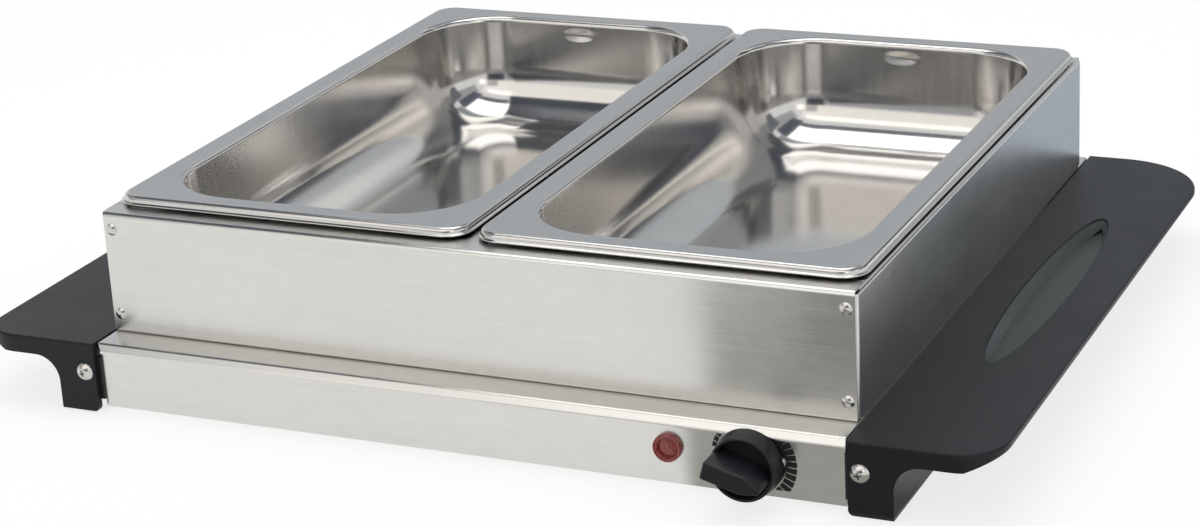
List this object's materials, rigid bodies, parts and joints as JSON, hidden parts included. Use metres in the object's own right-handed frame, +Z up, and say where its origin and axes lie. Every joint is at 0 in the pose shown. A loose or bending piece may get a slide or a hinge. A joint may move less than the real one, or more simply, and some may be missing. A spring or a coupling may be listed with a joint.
{
  "type": "electric food warmer tray",
  "caption": "Low heated base with black end grips, a dial and a pilot lamp, carrying a rack with deep rectangular lift-out pans.",
  "frame": {"origin": "on the table under the middle of the outline", "axes": "+X to the right as seen from the front, +Y to the rear, +Z up"},
  "size_m": [0.495, 0.4058, 0.0977],
  "materials": {
    "rack_steel": "bright brushed stainless sheet",
    "pan_steel": "deep-drawn polished stainless",
    "base_steel": "brushed stainless sheet",
    "plated_steel": "zinc-plated steel",
    "fastener_steel": "bright plated screws and rivets",
    "grip_plastic": "black moulded phenolic",
    "knob_plastic": "black moulded plastic",
    "scale_ink": "black screen print",
    "lamp_red": "translucent red lens",
    "foot_rubber": "black rubber",
    "aluminium_sheet": "plain aluminium sheet",
    "element_sheath": "oxidised tubular element sheath",
    "ceramic": "off-white ceramic",
    "mineral_mat": "pale mineral wool",
    "black_nylon": "black nylon",
    "brass_parts": "plain brass",
    "brown_wire": "brown wire insulation",
    "blue_wire": "blue wire insulation"
  },
  "bodies": {
    "base": {"deck": "base_steel", "front_panel": "base_steel", "rear_panel": "base_steel", "bottom_pan": "plated_steel", "foot_front_left": "foot_rubber", "foot_front_right": "foot_rubber", "foot_rear_left": "foot_rubber", "foot_rear_right": "foot_rubber", "foot_screws": "fastener_steel", "foot_nuts": "plated_steel", "deck_standoffs": "plated_steel", "standoff_screws": "fastener_steel", "left_grip": "grip_plastic", "right_grip": "grip_plastic", "bracket_front_left": "plated_steel", "bracket_front_right": "plated_steel", "bracket_rear_left": "plated_steel", "bracket_rear_right": "plated_steel", "bracket_rivets": "plated_steel", "grip_screws": "fastener_steel", "thermostat_body": "ceramic", "thermostat_screws": "fastener_steel", "dial_scale": "scale_ink", "lamp_lens": "lamp_red", "lamp_body": "black_nylon", "lamp_nut": "plated_steel", "heat_spreader": "aluminium_sheet", "heating_element": "element_sheath", "element_beads": "ceramic", "element_clamp_front": "plated_steel", "element_clamp_rear": "plated_steel", "clamp_studs": "plated_steel", "clamp_nuts": "plated_steel", "insulation_mat": "mineral_mat", "heat_shield": "plated_steel", "thermal_cutout": "brass_parts", "cord_gland": "black_nylon", "gland_nut": "black_nylon", "terminal_block": "ceramic", "earth_stud": "brass_parts", "live_wire": "brown_wire", "neutral_wire": "blue_wire", "switched_wire": "brown_wire"},
    "control": {"control_knob": "knob_plastic", "thermostat_shaft": "plated_steel"},
    "rack": {"rack_front_panel": "rack_steel", "rack_rear_panel": "rack_steel", "rack_left_panel": "rack_steel", "rack_right_panel": "rack_steel", "rack_centre_rail": "rack_steel", "rack_front_rivets": "fastener_steel", "rack_rear_rivets": "fastener_steel"},
    "left_pan": {"left_pan": "pan_steel"},
    "right_pan": {"right_pan": "pan_steel"}
  },
  "joints": [
    {"name": "knob_turn", "type": "hinge", "parent": "base", "child": "control", "pos_m": [0.1396, -0.1799, 0.018], "axis": [0, 1, 0], "range_deg": [0, 200]},
    {"name": "rack_lift", "type": "slide", "parent": "base", "child": "rack", "axis": [0, 0, 1], "range_m": [0, 0.06]},
    {"name": "left_pan_lift", "type": "slide", "parent": "rack", "child": "left_pan", "axis": [0, 0, 1], "range_m": [0, 0.08]},
    {"name": "right_pan_lift", "type": "slide", "parent": "rack", "child": "right_pan", "axis": [0, 0, 1], "range_m": [0, 0.08]}
  ]
}
